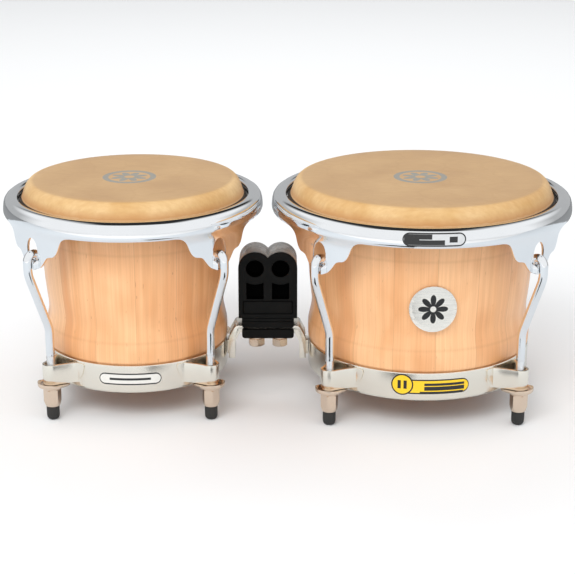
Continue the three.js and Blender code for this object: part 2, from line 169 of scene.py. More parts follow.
def boolean(obj, tool, operation):
    """Cuts or joins with another object, which is then removed."""
    change = obj.modifiers.new(operation.lower(), "BOOLEAN")
    change.operation = operation
    change.solver = "EXACT"
    change.object = tool
    apply_modifiers(obj)
    bpy.data.objects.remove(tool)


def cut(obj, tool):
    boolean(obj, tool, "DIFFERENCE")


def join(obj, tool):
    boolean(obj, tool, "UNION")


def fillet(points, radius, steps=4, closed=True):
    """Rounds the corners of a 2D outline. radius is one number or one per corner."""
    count = len(points)
    radii = radius if isinstance(radius, (list, tuple)) else [radius] * count
    result = []
    for i, point in enumerate(points):
        if not closed and i in (0, count - 1) or radii[i] <= 0:
            result.append(tuple(point))
            continue
        here = Vector(point)
        before = Vector(points[i - 1]) - here
        after = Vector(points[(i + 1) % count]) - here
        reach = min(radii[i], before.length * 0.49, after.length * 0.49)
        start = here + before.normalized() * reach
        end = here + after.normalized() * reach
        for k in range(steps + 1):
            t = k / steps
            spot = start * (1 - t) ** 2 + here * (2 * t * (1 - t)) + end * t ** 2
            result.append((spot.x, spot.y))
    return result


def band_faces(columns, count, spans):
    """Faces between neighbouring columns of points, the last column joined to the first."""
    faces = []
    for j in range(columns):
        nxt = (j + 1) % columns
        for i in range(spans):
            k = (i + 1) % count
            faces.append((j * count + i, nxt * count + i, nxt * count + k, j * count + k))
    return faces


def revolve(name, profile, segments=128, sharp=35.0, radius_at=None):
    """Solid of revolution of a [radius, z] outline; closes on the axis or on itself."""
    on_axis = abs(profile[0][0]) < 1e-6
    verts = []
    for j in range(segments):
        angle = 2 * math.pi * j / segments
        for r, z in profile:
            reach = r if radius_at is None else radius_at(r, z, angle)
            verts.append((reach * math.cos(angle), reach * math.sin(angle), z))
    count = len(profile)
    spans = count - 1 if on_axis else count
    return make_mesh(name, verts, band_faces(segments, count, spans), sharp)


def sweep(name, points, radius, sides, radius_at):
    """Round bar along a path in the x-z plane, with chamfered flat ends."""
    rings = []
    for i, point in enumerate(points):
        along = points[min(i + 1, len(points) - 1)] - points[max(i - 1, 0)]
        rings.append((point, along.normalized(), 1.0))
    bevel = 0.8
    tip = 1 - bevel / radius
    (first, backwards, _), (last, onwards, _) = rings[0], rings[-1]
    rings.insert(0, (first - backwards * bevel, backwards, tip))
    rings.append((last + onwards * bevel, onwards, tip))
    across = Vector((0, 1, 0))
    verts = []
    for point, along, share in rings:
        up = along.cross(across).normalized()
        for j in range(sides):
            angle = 2 * math.pi * j / sides
            reach = radius_at(point, angle) * share
            verts.append(point + across * (reach * math.cos(angle)) + up * (reach * math.sin(angle)))
    faces = []
    for i in range(len(rings) - 1):
        for j in range(sides):
            k = (j + 1) % sides
            faces.append((i * sides + j, i * sides + k, (i + 1) * sides + k, (i + 1) * sides + j))
    faces.append(tuple(range(sides)))
    faces.append(tuple((len(rings) - 1) * sides + j for j in range(sides)))
    return make_mesh(name, verts, faces, 50.0)


def joined_faces(count):
    """Faces of two matching outlines and of the band between them."""
    sides = [(i, (i + 1) % count, count + (i + 1) % count, count + i) for i in range(count)]
    return [tuple(range(count)), tuple(range(count, 2 * count))] + sides


def prism(name, outline, low, high, axis="Z"):
    """Outline extruded along Z, or an x-z outline extruded along Y."""
    if axis == "Z":
        verts = [(x, y, low) for x, y in outline] + [(x, y, high) for x, y in outline]
    else:
        verts = [(x, low, z) for x, z in outline] + [(x, high, z) for x, z in outline]
    return make_mesh(name, verts, joined_faces(len(outline)))


def box(name, x0, x1, y0, y1, z0, z1):
    return prism(name, [(x0, y0), (x1, y0), (x1, y1), (x0, y1)], z0, z1)


def circle(x, z, radius, steps=48):
    return arc(x, z, radius, 0, 360, steps)[:-1]


def arc(x, y, radius, start, end, steps):
    """Points of an arc, angles in degrees."""
    turns = [math.radians(start + (end - start) * i / steps) for i in range(steps + 1)]
    return [(x + radius * math.cos(a), y + radius * math.sin(a)) for a in turns]


def interpolate(table, x):
    """Smooth curve through (x, y) pairs, clamped at the ends."""
    if x <= table[0][0]:
        return table[0][1]
    if x >= table[-1][0]:
        return table[-1][1]
    i = max(k for k in range(len(table) - 1) if table[k][0] <= x)
    x0, y0 = table[i]
    x1, y1 = table[i + 1]
    slope = (y1 - y0) / (x1 - x0)
    before = slope if i == 0 else (y1 - table[i - 1][1]) / (x1 - table[i - 1][0])
    after = slope if i + 2 == len(table) else (table[i + 2][1] - y0) / (table[i + 2][0] - x0)
    t = (x - x0) / (x1 - x0)
    width = x1 - x0
    ease = 3 * t ** 2 - 2 * t ** 3
    bend = before * (t ** 3 - 2 * t ** 2 + t) + after * (t ** 3 - t ** 2)
    return y0 * (1 - ease) + y1 * ease + width * bend


# ---- materials ----

class Shader:
    """A material being built: makes nodes and joins whatever sockets are given to them."""

    def __init__(self, name, **constants):
        self.material = bpy.data.materials.new(name)
        self.material.use_nodes = True
        self.tree = self.material.node_tree
        self.tree.nodes.clear()
        output = self.tree.nodes.new("ShaderNodeOutputMaterial")
        self.surface = self.tree.nodes.new("ShaderNodeBsdfPrincipled")
        self.tree.links.new(self.surface.outputs[0], output.inputs["Surface"])
        for socket, value in constants.items():
            self.surface.inputs[socket.replace("_", " ")].default_value = value

    def node(self, kind, inputs=None, **settings):
        node = self.tree.nodes.new("ShaderNode" + kind)
        for key, value in settings.items():
            setattr(node, key, value)
        for key, value in (inputs or {}).items():
            if isinstance(value, bpy.types.NodeSocket):
                self.tree.links.new(value, node.inputs[key])
            else:
                node.inputs[key].default_value = value
        return node

    def math(self, operation, a, b=0.0):
        return self.node("Math", {0: a, 1: b}, operation=operation).outputs[0]

    def times(self, a, b):
        return self.math("MULTIPLY", a, b)

    def plus(self, a, b):
        return self.math("ADD", a, b)

    def minus(self, a, b):
        return self.math("SUBTRACT", a, b)

    def local(self):
        return self.node("TexCoord").outputs["Object"]

    def split(self, vector):
        return self.node("SeparateXYZ", {0: vector}).outputs

    def join(self, x, y, z):
        return self.node("CombineXYZ", {0: x, 1: y, 2: z}).outputs[0]

    def reach(self, x, y):
        """Distance from the origin of two coordinates in metres, in millimetres."""
        squares = self.plus(self.times(x, x), self.times(y, y))
        return self.times(self.math("SQRT", squares), 1000.0)

    def noise(self, vector, scale, detail=3.0, rough=0.5):
        inputs = {"Vector": vector, "Scale": scale, "Detail": detail, "Roughness": rough}
        return self.node("TexNoise", inputs).outputs[0]

    def stretch(self, vector, x, y, z):
        return self.node("Mapping", {"Vector": vector, "Scale": (x, y, z)}).outputs[0]

    def level(self, value, low, high, out_low, out_high):
        inputs = {0: value, 1: low, 2: high, 3: out_low, 4: out_high}
        return self.node("MapRange", inputs).outputs[0]

    def mix(self, share, a, b, blend="MIX"):
        node = self.node("Mix", data_type="RGBA", blend_type=blend)
        for index, value in ((0, share), (6, a), (7, b)):
            if isinstance(value, bpy.types.NodeSocket):
                self.tree.links.new(value, node.inputs[index])
            elif index == 0:
                node.inputs[index].default_value = value
            else:
                node.inputs[index].default_value = (*value, 1.0)
        return node.outputs[2]

    def set(self, socket, value):
        self.tree.links.new(value, self.surface.inputs[socket])

    def bump(self, height, strength, distance=0.0003, below=None):
        inputs = {"Height": height, "Strength": strength, "Distance": distance}
        if below is not None:
            inputs["Normal"] = below
        return self.node("Bump", inputs).outputs[0]


def srgb(*channels):
    """Linear colour from 0-255 display values."""
    shares = [c / 255 for c in channels]
    return tuple(c / 12.92 if c <= 0.04045 else ((c + 0.055) / 1.055) ** 2.4 for c in shares)


def polished_metal(name, colour, rough, scratch=0.12, tint=0.03):
    """Plated metal: fine scratches, faint smudges and slight unevenness of the sheet."""
    s = Shader(name, Metallic=1.0)
    local = s.local()
    smudge = s.noise(local, 30.0, 4.0)
    fine = s.noise(s.stretch(local, 900, 900, 120), 1.0, 2.0)
    wave = s.noise(local, 55.0, 1.0)
    lighter = tuple(min(1.0, c * (1 + tint)) for c in colour)
    darker = tuple(c * (1 - 2 * tint) for c in colour)
    s.set("Base Color", s.mix(smudge, darker, lighter))
    s.set("Roughness", s.level(smudge, 0.3, 0.75, rough * 0.7, rough * 1.5))
    below = s.bump(wave, 0.05, 0.0008)
    s.set("Normal", s.bump(fine, scratch, 0.00001, below))
    return s.material


def wood_material(name, radius, stave_width, seed):
    """Upright glued staves: a tone for each, fine upright grain, small flecks, satin lacquer, and painted
    shade in two lines round the shell where its profile changes.
    """
    s = Shader(name, Coat_Weight=0.35, Coat_Roughness=0.18, Specular_IOR_Level=0.45)
    x, y, z = s.split(s.local())[:3]
    angle = s.math("ARCTAN2", y, x)
    round_ = s.times(angle, radius * MM)
    staves = round(2 * math.pi * radius / stave_width)
    turn = s.plus(s.math("DIVIDE", angle, 2 * math.pi), 0.5)
    place_in = s.plus(s.times(turn, float(staves)), seed * 0.31)
    number = s.math("FLOOR", place_in)
    across = s.math("FRACT", place_in)
    pick = s.plus(number, seed * 17.3)
    tone = s.node("TexWhiteNoise", {"W": pick}, noise_dimensions="1D").outputs[0]
    shift = s.times(tone, 3.0)
    own = s.times(number, 0.37)
    lane = s.join(s.plus(round_, shift), s.plus(z, shift), own)
    grain = s.noise(s.stretch(lane, 620, 9, 1), 1.0, 4.0, 0.6)
    band = s.noise(s.stretch(lane, 85, 3.2, 1), 1.0, 3.0, 0.55)
    figure = s.noise(s.stretch(lane, 24, 14, 1), 1.0, 2.0, 0.5)
    fleck = s.noise(s.stretch(lane, 900, 130, 1), 1.0, 1.0, 0.4)
    base = s.mix(tone, srgb(230, 164, 108), srgb(250, 196, 144))
    warm = s.mix(s.level(band, 0.35, 0.66, 0.0, 0.7), base, srgb(254, 202, 150))
    warm = s.mix(s.level(figure, 0.46, 0.66, 0.0, 0.5), warm, srgb(224, 154, 96))
    warm = s.mix(s.level(grain, 0.38, 0.62, 0.22, 0.0), warm, srgb(190, 124, 72))
    dots = s.level(fleck, 0.74, 0.79, 0.0, 0.45)
    warm = s.mix(dots, warm, srgb(160, 96, 54))
    # Painted shade: a darker line round the shell at 80 and 164 mm, where its turned profile changes.
    for height in (80.0, 164.0):
        ridge_shade = s.level(s.math("ABSOLUTE", s.minus(z, height * MM)), 0.0002, 0.0022, 0.13, 0.0)
        warm = s.mix(ridge_shade, warm, srgb(176, 116, 72))
    edge = s.math("MINIMUM", across, s.minus(1.0, across))
    joint_line = s.level(edge, 0.0, 0.012, 0.30, 0.0)
    s.set("Base Color", s.mix(joint_line, warm, srgb(150, 100, 66)))
    s.set("Roughness", s.level(grain, 0.3, 0.7, 0.36, 0.5))
    lacquer = s.noise(s.local(), 90.0, 2.0)
    under = s.bump(lacquer, 0.06, 0.0006)
    s.set("Normal", s.bump(grain, 0.10, 0.00008, under))
    return s.material


def skin_material(name, nominal, print_x, seed):
    """Tanned hide: cloudy tone, faint veins, golden stretched collar, and a printed grey mark; the top's
    darker tone is partly painted shade, and a near-black band at the collar's foot is painted shadow.
    """
    s = Shader(name, Specular_IOR_Level=0.4, Sheen_Weight=0.05)
    local = s.local()
    x, y, z = s.split(local)[:3]
    moved = s.node("Mapping", {"Vector": local, "Location": (seed, seed * 2, 0)}).outputs[0]
    cloud = s.noise(moved, 22.0, 5.0, 0.55)
    fibre = s.noise(s.stretch(moved, 90, 420, 200), 1.0, 4.0, 0.6)
    pores = s.noise(moved, 900.0, 2.0, 0.5)
    drift = s.join(s.times(cloud, 0.05), s.times(fibre, 0.01), 0.0)
    bent = s.node("VectorMath", {0: moved, 1: drift}).outputs[0]
    vein = s.node("TexVoronoi", {"Vector": bent, "Scale": 26.0}, feature="DISTANCE_TO_EDGE").outputs[0]
    # The top is darker than the collar: partly the hide's own tone, partly painted shade for the flat top
    # taking less of the light from the front.
    top = s.mix(s.level(cloud, 0.30, 0.72, 0.0, 1.0), srgb(196, 157, 112), srgb(209, 173, 128))
    top = s.mix(s.level(fibre, 0.35, 0.65, 0.22, 0.0), top, srgb(178, 138, 94))
    top = s.mix(s.level(vein, 0.0, 0.05, 0.10, 0.0), top, srgb(168, 124, 80))
    collar = s.mix(s.level(cloud, 0.35, 0.65, 0.0, 1.0), srgb(210, 164, 102), srgb(232, 197, 144))
    collar = s.mix(s.level(fibre, 0.35, 0.62, 0.25, 0.0), collar, srgb(192, 138, 82))
    down = s.level(s.reach(x, y), nominal + 3.0, nominal + 6.5, 0.0, 1.0)
    colour = s.mix(down, top, collar)
    ragged = s.plus(z, s.level(fibre, 0.3, 0.7, -0.0006, 0.0006))
    # Bands at the collar's foot: a darker orange towards the foot, partly painted shade in the groove by the
    # rim; the pale frayed cut edge of the hide; and below it a near-black band, painted shadow in the gap
    # between collar and rim.
    collar_bands_and_gap_shadow = (
        (z, GAP_TOP + 1.0, GAP_TOP + 8.5, 0.75, srgb(202, 140, 84)),
        (ragged, GAP_TOP + 1.2, GAP_TOP + 1.9, 0.3, srgb(240, 210, 165)),
        (z, GAP_TOP, GAP_TOP + 0.4, 0.97, srgb(30, 21, 15)),
    )
    for height, full, gone, share, tint in collar_bands_and_gap_shadow:
        colour = s.mix(s.level(height, full * MM, gone * MM, share, 0.0), colour, tint)
    printed = printed_mark(s, s.minus(x, print_x * MM), y)
    inked = s.times(printed, s.level(pores, 0.35, 0.6, 0.6, 0.95))
    s.set("Base Color", s.mix(inked, colour, srgb(142, 149, 148)))
    s.set("Roughness", s.level(cloud, 0.3, 0.7, 0.42, 0.58))
    under = s.bump(cloud, 0.25, 0.0008)
    under = s.bump(fibre, 0.14, 0.0002, under)
    s.set("Normal", s.bump(pores, 0.18, 0.00006, under))
    return s.material


def between(s, value, low, high, soft):
    """1 where a value lies between two limits, 0 outside them."""
    up = s.level(value, low - soft, low + soft, 0.0, 1.0)
    return s.times(up, s.level(value, high - soft, high + soft, 1.0, 0.0))


def printed_mark(s, x, y):
    """Mask of a plain round print: an outer ring and a ring of petals inside it."""
    radius = s.reach(x, y)
    ring = between(s, radius, 19.6, 25.0, 0.35)
    angle = s.math("ARCTAN2", y, x)
    wave = s.math("ABSOLUTE", s.math("SINE", s.times(angle, 4.0)))
    petal_edge = s.plus(8.0, s.times(wave, 9.4))
    petals = s.level(s.minus(radius, petal_edge), -0.4, 0.4, 1.0, 0.0)
    hole = s.level(radius, 4.4, 5.2, 0.0, 1.0)
    return s.math("MAXIMUM", ring, s.times(petals, hole))


def moulded_material(name, colour, rough, grain_scale=1400.0, strength=0.25, specular=0.5, face=None):
    """Moulded plastic or rubber: fine pebbled skin, cloudy sheen, and painted shade behind its front face,
    duller and darker there.
    """
    s = Shader(name, Specular_IOR_Level=specular)
    local = s.local()
    pebble = s.noise(local, grain_scale, 2.0, 0.5)
    cloud = s.noise(local, 60.0, 3.0)
    lighter = tuple(c * 1.5 + 0.002 for c in colour)
    tone = s.mix(s.level(cloud, 0.3, 0.7, 0.0, 1.0), colour, lighter)
    if face is not None:
        # Painted shade: more than about a millimetre behind the front face the colour falls almost to black
        # and the gloss fades, for the sockets, pockets and groove.
        depth = s.math("ABSOLUTE", s.split(local)[1])
        inside = s.level(depth, (face - 1.0) * MM, (face - 0.4) * MM, 1.0, 0.0)
        s.set("Specular IOR Level", s.level(inside, 0.0, 1.0, specular, 0.01))
        tone = s.mix(s.times(inside, 0.8), tone, (0.0003, 0.0003, 0.0003))
    s.set("Base Color", tone)
    s.set("Roughness", s.level(cloud, 0.3, 0.7, rough * 0.85, rough * 1.15))
    s.set("Normal", s.bump(pebble, strength, 0.00005))
    return s.material


def brushed_metal(name, colour, rough, lengthwise=(40, 1600, 1600), shade=0.72, metallic=1.0):
    """Drawn sheet or bar: long fine lines that spread the gloss along them."""
    s = Shader(name, Metallic=metallic)
    local = s.local()
    lines = s.noise(s.stretch(local, *lengthwise), 1.0, 3.0, 0.6)
    smudge = s.noise(local, 40.0, 3.0)
    darker = tuple(c * shade for c in colour)
    s.set("Base Color", s.mix(s.level(lines, 0.3, 0.7, 0.0, 1.0), darker, colour))
    s.set("Roughness", s.level(smudge, 0.3, 0.7, rough * 0.8, rough * 1.3))
    s.set("Normal", s.bump(lines, 0.2, 0.00003))
    return s.material


def badge_material():
    """Brushed silver disc with a plain black eight-petal motif."""
    s = Shader("badge_face", Metallic=1.0)
    x, _, z = s.split(s.local())[:3]
    radius = s.reach(x, z)
    angle = s.math("ARCTAN2", z, x)
    wave = s.math("ABSOLUTE", s.math("COSINE", s.times(angle, 4.0)))
    edge = s.plus(3.8, s.times(s.math("POWER", wave, 0.7), 9.6))
    petals = s.level(s.minus(radius, edge), -0.25, 0.25, 1.0, 0.0)
    hole = s.level(radius, 2.5, 2.9, 0.0, 1.0)
    motif = s.times(petals, hole)
    lines = s.noise(s.stretch(s.local(), 30, 30, 1800), 1.0, 3.0, 0.6)
    silver = s.mix(s.level(lines, 0.3, 0.7, 0.0, 1.0), srgb(232, 226, 216), srgb(250, 246, 238))
    s.set("Base Color", s.mix(motif, silver, srgb(18, 18, 18)))
    s.set("Metallic", s.minus(1.0, motif))
    s.set("Roughness", s.level(lines, 0.3, 0.7, 0.22, 0.34))
    s.set("Normal", s.bump(s.plus(s.times(lines, 0.004), motif), 0.4, 0.00012))
    return s.material


def label_material(name, ground, ink, half_width, half_height, bars):
    """Printed label: ground colour, dark outline, and plain bars in place of any wording."""
    s = Shader(name, Specular_IOR_Level=0.5, Coat_Weight=0.4, Coat_Roughness=0.12)
    x, _, z = s.split(s.local())[:3]
    along = s.times(x, 1000.0)
    high = s.times(z, 1000.0)
    inner = max(0.0, half_width - half_height)
    past = s.math("MAXIMUM", s.minus(s.math("ABSOLUTE", along), inner), 0.0)
    reach = s.math("SQRT", s.plus(s.times(past, past), s.times(high, high)))
    inked = s.level(reach, half_height - 1.35, half_height - 1.15, 0.0, 1.0)
    edge = 0.08
    for x0, x1, z0, z1 in bars:
        inside = s.times(between(s, along, x0, x1, edge), between(s, high, z0, z1, edge))
        inked = s.math("MAXIMUM", inked, inside)
    wear = s.noise(s.local(), 350.0, 3.0)
    tone = s.mix(s.level(wear, 0.4, 0.7, 0.0, 0.12), ground, tuple(c * 0.7 for c in ground))
    s.set("Base Color", s.mix(inked, tone, ink))
    s.set("Roughness", s.level(wear, 0.3, 0.7, 0.25, 0.4))
    s.set("Normal", s.bump(wear, 0.08, 0.00005))
    return s.material


CHROME = polished_metal("chrome", (0.88, 0.89, 0.90), 0.07)
RING_METAL = polished_metal("ring_metal", (0.93, 0.865, 0.755), 0.2, 0.2)
NICKEL = polished_metal("nickel", (0.86, 0.68, 0.53), 0.2, 0.25, 0.05)
# The flesh hoop's dark metal is partly its own colour and partly painted shade for the gap under the rim.
HOOP_METAL = brushed_metal("hoop_metal", (0.35, 0.33, 0.3), 0.4)
COVER_METAL = brushed_metal("cover_metal", (0.95, 0.94, 0.90), 0.25, (25, 1100, 25), 0.2, 0.35)
# face=19.0 gives the block's black mouldings painted shade behind their front face.
BLACK_PLASTIC = moulded_material("black_plastic", srgb(8, 8, 7), 0.45, specular=0.13, face=19.0)
RUBBER = moulded_material("rubber", srgb(36, 34, 32), 0.6, 2200.0, 0.4)
SKINS = {
    "macho": skin_material("macho_hide", NOMINAL["macho"], -3.4, 1.3),
    "hembra": skin_material("hembra_hide", NOMINAL["hembra"], -1.2, 4.1),
}
WOODS = {
    "macho": wood_material("macho_staves", NOMINAL["macho"] - 3, 38.0, 1),
    "hembra": wood_material("hembra_staves", NOMINAL["hembra"] - 3, 38.0, 5),
}


# ---- drum pieces ----

def offset_profile(nominal, table):
    return [(nominal + r, z) for r, z in table]


def build_shell(drum):
    n = NOMINAL[drum]
    outside = [
        (-5.0, 34.8), (-5.0, 59.3), (-2.5, 61.0), (-2.1, 70), (-2.4, 77), (-3.9, 83.5), (-5.7, 92),
        (-5.8, 98), (-4.6, 108), (-3.4, 120), (-2.6, 132), (-1.7, 150), (-1.0, 164), (-0.2, 170),
        (2.2, 200), (2.2, 207), (-0.5, 213.6),
    ]
    inside = [(-7.5, 213.6), (-14.5, 206), (-16.0, 198), (-16.0, 36.5), (-14.8, 34.8)]
    profile = fillet(offset_profile(n, outside + inside), 3.0, 3)
    obj = revolve(f"{drum}_shell_wood", profile, 192, 40.0)
    place(obj, CENTRE[drum])
    finish_piece(obj, WOODS[drum], "frame", "shell_wood", f"{drum}_shell")


def build_head(drum):
    n = NOMINAL[drum]
    rng = random.Random(drum)
    phases = [(k, rng.uniform(0, 6.28), rng.uniform(0.03, 0.12)) for k in (2, 3, 5, 7, 11)]
    top = [
        (18.4, 189.8), (18.8, 193.5), (17.4, 196.6), (15.0, 199.8), (13.8, 203.0), (12.6, 206.6),
        (11.2, 210.2), (9.3, 213.0), (7.0, 214.9), (FLAT_EDGE, HEAD_TOP),
    ]
    under = [
        (4.0, 214.0), (6.2, 213.3), (8.0, 211.7), (9.6, 209.2), (11.9, 203.2), (13.2, 199.4), (16.0, 195.4),
        (17.0, 193.2), (16.8, 189.8),
    ]
    outer = fillet(offset_profile(n, top), 2.0, 3, closed=False)
    inner = fillet(offset_profile(n, under), 2.0, 3, closed=False)
    flat = [(0.0, HEAD_TOP - 1.6)]
    crown = [((n + FLAT_EDGE) * (1 - k / 10), HEAD_TOP) for k in range(1, 11)]
    profile = flat + inner + outer + crown

    def waver(r, z, angle):
        if z > 212 or r < n:
            return r
        share = min(1.0, (212 - z) / 10)
        return r + share * sum(size * 1.2 * math.sin(k * angle + phase) for k, phase, size in phases)

    obj = revolve(f"{drum}_skin", profile, 160, 40.0, waver)
    place(obj, CENTRE[drum])
    finish_piece(obj, SKINS[drum], "frame", "head_skin", f"{drum}_head")


def build_hoop(drum):
    section = [(20.6, 189.8), (26.0, 189.8), (26.0, 196.3), (20.6, 196.3)]
    profile = fillet(offset_profile(NOMINAL[drum], section), 2.6, 5)
    obj = revolve(f"{drum}_flesh_ring", profile)
    place(obj, CENTRE[drum])
    finish_piece(obj, HOOP_METAL, "frame", "hoop_metal", f"{drum}_flesh_hoop")


BAND = [
    (18.6, 198.8), (18.5, 199.9), (19.0, 201.2), (20.4, 202.2), (22.6, 202.6), (25.2, 202.4), (27.7, 201.6),
    (29.7, 200.2), (31.1, 198.0), (31.85, 195.2), (32.2, 192.3), (32.35, 189.6),
]
BAND_LOW = 186.4
BAND_FALL = [
    (150, 29.6), (176, 29.6), (180.5, 29.85), (183.5, 30.55), (186.4, 31.55), (188.2, 32.2), (189.6, 32.35),
]
TAB_EDGE = [
    (0, 151.4), (5, 151.9), (9, 153.6), (12, 156.0), (14.5, 159.0), (17, 162.4), (19, 164.6), (22, 165.8),
    (25.5, 166.5), (28, 167.9), (30.3, 170.5), (32.3, 174.4), (34.3, 179.2), (37.0, 183.0), (41.0, 185.5),
    (46, 186.4),
]
TAB_REACH = 46.0


def lug_distance(angle, radius):
    """Arc distance from the nearest lug, in millimetres."""
    nearest = min(abs((math.degrees(angle) - lug + 180) % 360 - 180) for lug in LUGS.values())
    return math.radians(nearest) * radius


def saddle_bulge(along, z):
    """How far the pressed saddle stands out of the tab under the hook."""
    height = max(0.0, 1 - ((z - 155.0) / 4.9) ** 2)
    width = max(0.0, 1 - (along / 7.4) ** 4)
    groove = 2.9 * min(1.0, (abs(along) / 5.2) ** 2)
    return min(1.0, height * 1.5) * min(1.0, width * 1.6) * (1.15 + groove)


def rim_columns(radius):
    """Angles of the rim's columns, closer together across the tabs."""
    reach = math.degrees(TAB_REACH / radius)
    tab_step = math.degrees(0.75 / radius)
    angles = []
    for lug in sorted(LUGS.values()):
        count = round(2 * reach / tab_step)
        angles += [lug - reach + 2 * reach * i / count for i in range(count)]
        gap = 90 - 2 * reach
        count = max(2, round(gap / math.degrees(3.0 / radius)))
        angles += [lug + reach + gap * i / count for i in range(count)]
    return [math.radians(a) for a in angles]


def build_rim(drum):
    n = NOMINAL[drum]
    skirt = n + SKIRT
    columns = rim_columns(skirt)
    rows = 56
    band = offset_profile(n, BAND)
    verts = []
    for angle in columns:
        along = lug_distance(angle, skirt)
        low = interpolate(TAB_EDGE, along) if along < TAB_REACH else BAND_LOW
        column = list(band)
        for i in range(1, rows + 1):
            z = BAND[-1][1] + (low - BAND[-1][1]) * i / rows
            column.append((n + interpolate(BAND_FALL, z) + saddle_bulge(along, z), z))
        verts += [(r * math.cos(angle), r * math.sin(angle), z) for r, z in column]
    count = len(band) + rows
    faces = band_faces(len(columns), count, count - 1)
    obj = make_mesh(f"{drum}_rolled_rim", verts, faces, 60.0)
    bpy.context.view_layer.update()
    outward = sum(f.normal.x * f.center.x + f.normal.y * f.center.y for f in obj.data.polygons)
    if outward < 0:
        obj.data.flip_normals()
    thicken(obj, SHEET, True, 60.0)
    for angle in LUGS.values():
        tool = prism("window", window_outline(), n + 20, n + 45, axis="Y")
        tool.data.transform(turned(angle - 90))
        cut(obj, tool)
    bevel_edges(obj, 0.45, 2, 50.0, 40.0)
    place(obj, CENTRE[drum])
    finish_piece(obj, CHROME, f"{drum}_tension_rim", "chrome", f"{drum}_rim")


def window_outline():
    """Arched window above the saddle, symmetric about the lug."""
    right = [
        (6.8, 159.7), (7.5, 161.8), (7.6, 167.0), (7.3, 171.5), (6.3, 175.2), (4.5, 178.2), (2.3, 179.9),
        (0, 180.5),
    ]
    left = [(-x, z) for x, z in right[-2::-1]]
    return fillet(right + left, 1.0, 3)


def strap_outline(n, nose, foot, wall_middle):
    """Plan of a strap's edge: foot on the ring, hollow sweep, then the nose round the rod."""
    foot_x = math.sqrt(wall_middle ** 2 - foot ** 2)
    rod_x = n + ROD_LOW
    tip = math.radians(72)
    shoulder = Vector((rod_x + nose * math.cos(tip), nose * math.sin(tip)))
    start = Vector((foot_x, foot))
    bend = Vector((foot_x + 5.5, foot - 7.0))
    side = []
    for k in range(13):
        t = k / 12
        spot = start * (1 - t) ** 2 + bend * (2 * t * (1 - t)) + shoulder * t ** 2
        side.append((spot.x, spot.y))
    nose_points = arc(rod_x, 0, nose, 72, 0, 10)[1:]
    half = side + nose_points
    return half + [(x, -y) for x, y in half[-2::-1]]


def strap_flap(outside, sign):
    """End of a strap lying on the ring, its lower corner cut off; the lug is at +X."""
    reach = outside + 1.3
    edge = [(16.0, STRAP_HIGH), (23.0, STRAP_HIGH), (23.6, 54.0), (21.5, 46.5), (17.6, 41.0), (16.0, 40.0)]
    points = fillet(edge, 0.8, 2)
    verts = []
    for radius in (outside - 1.0, reach):
        for along, z in points:
            turn = sign * along / outside
            verts.append((radius * math.cos(turn), radius * math.sin(turn), z))
    return make_mesh("strap_flap", verts, joined_faces(len(points)))


def build_ring(drum):
    n = NOMINAL[drum]
    outside = n + RING_OUT
    inside = outside - RING_WALL
    section = [
        (n - 15, 32.0), (outside, 32.0), (outside, 59.0), (inside, 59.0), (inside, 34.4), (n - 15, 34.4),
    ]
    profile = fillet(section, [1.0, 3.0, 1.4, 0.8, 1.2, 1.0], 4)
    obj = revolve(f"{drum}_foot_ring", profile, 192)
    middle = outside - RING_WALL / 2
    for angle in LUGS.values():
        loop = prism("strap", strap_outline(n, 8.0, 19.5, middle), STRAP_LOW, STRAP_HIGH)
        hollow = prism("strap_hollow", strap_outline(n, 8.0 - RING_WALL, 16.6, middle - 0.4), 30.0, 60.0)
        cut(loop, hollow)
        for sign in (-1, 1):
            join(loop, strap_flap(outside, sign))
        loop.data.transform(turned(angle))
        join(obj, loop)
    bevel_edges(obj, 0.5, 3, 50.0, 40.0)
    place(obj, CENTRE[drum])
    finish_piece(obj, RING_METAL, "frame", "ring_metal", f"{drum}_bottom_ring")


# ---- lug pieces ----

def rod_path():
    """Threaded leg, outward lean, straight top and hook, in the x-z plane."""
    swing = ROD_HIGH - ROD_LOW
    lean = 20
    bend = 30
    step = THREAD_PITCH / 4
    path = [(0, ROD_END + step * i) for i in range(int((THREAD_TOP - ROD_END) / step))]
    path += [(0, 68.0), (0, 74.0), (0, 80.0)]
    path += arc(bend, 86.0, bend, 180, 180 - lean, 8)
    low_end = Vector(path[-1])
    high = arc(swing - bend, 152.0, bend, -lean, 0, 8)
    path += [tuple(low_end.lerp(Vector(high[0]), k / 6)) for k in range(1, 6)]
    path += high
    path += arc(swing - HOOK_R, HOOK_Z, HOOK_R, 0, 180, 20)
    path += [(swing - 2 * HOOK_R, 156.0), (swing - 2 * HOOK_R, 154.0)]
    return [Vector((x, 0, z)) for x, z in path]


def thread_radius(point, angle):
    """Radius of the rod: an M8 thread on its lower part, plain above."""
    if point.z > THREAD_TOP or point.x > 0.5:
        return ROD_R
    turn = (point.z / THREAD_PITCH + angle / (2 * math.pi)) % 1.0
    depth = 0.55 * (1 - abs(2 * turn - 1))
    return ROD_R - depth * min(1.0, (THREAD_TOP - point.z) / 2)


def build_rod(drum, where):
    obj = sweep(f"{drum}_tension_rod_{where}", rod_path(), ROD_R, 24, thread_radius)
    finish_piece(at_lug(obj, drum, where), CHROME, f"{drum}_tension_rim", "chrome", f"{drum}_rod_{where}")


def at_lug(obj, drum, where):
    """Places a lug piece, built on the threaded leg's axis, at one of a drum's lugs."""
    angle = math.radians(LUGS[where])
    reach = NOMINAL[drum] + ROD_LOW
    return place(obj, CENTRE[drum] + reach * math.cos(angle), reach * math.sin(angle), 0, LUGS[where])


def flange_radius(r, _, angle):
    """Plan of the flange: its wide part is drawn out to two corners under the strap."""
    if r < 10:
        return r
    behind = abs(math.degrees((angle + math.pi) % (2 * math.pi) - math.pi))
    if behind < 95:
        return r
    side = 12.95 / max(0.2, abs(math.sin(angle)))
    back = 13.5 / max(0.2, -math.cos(angle))
    reach = (side ** -8 + back ** -8) ** (-1 / 8)
    return r * max(1.0, reach / 13.3)


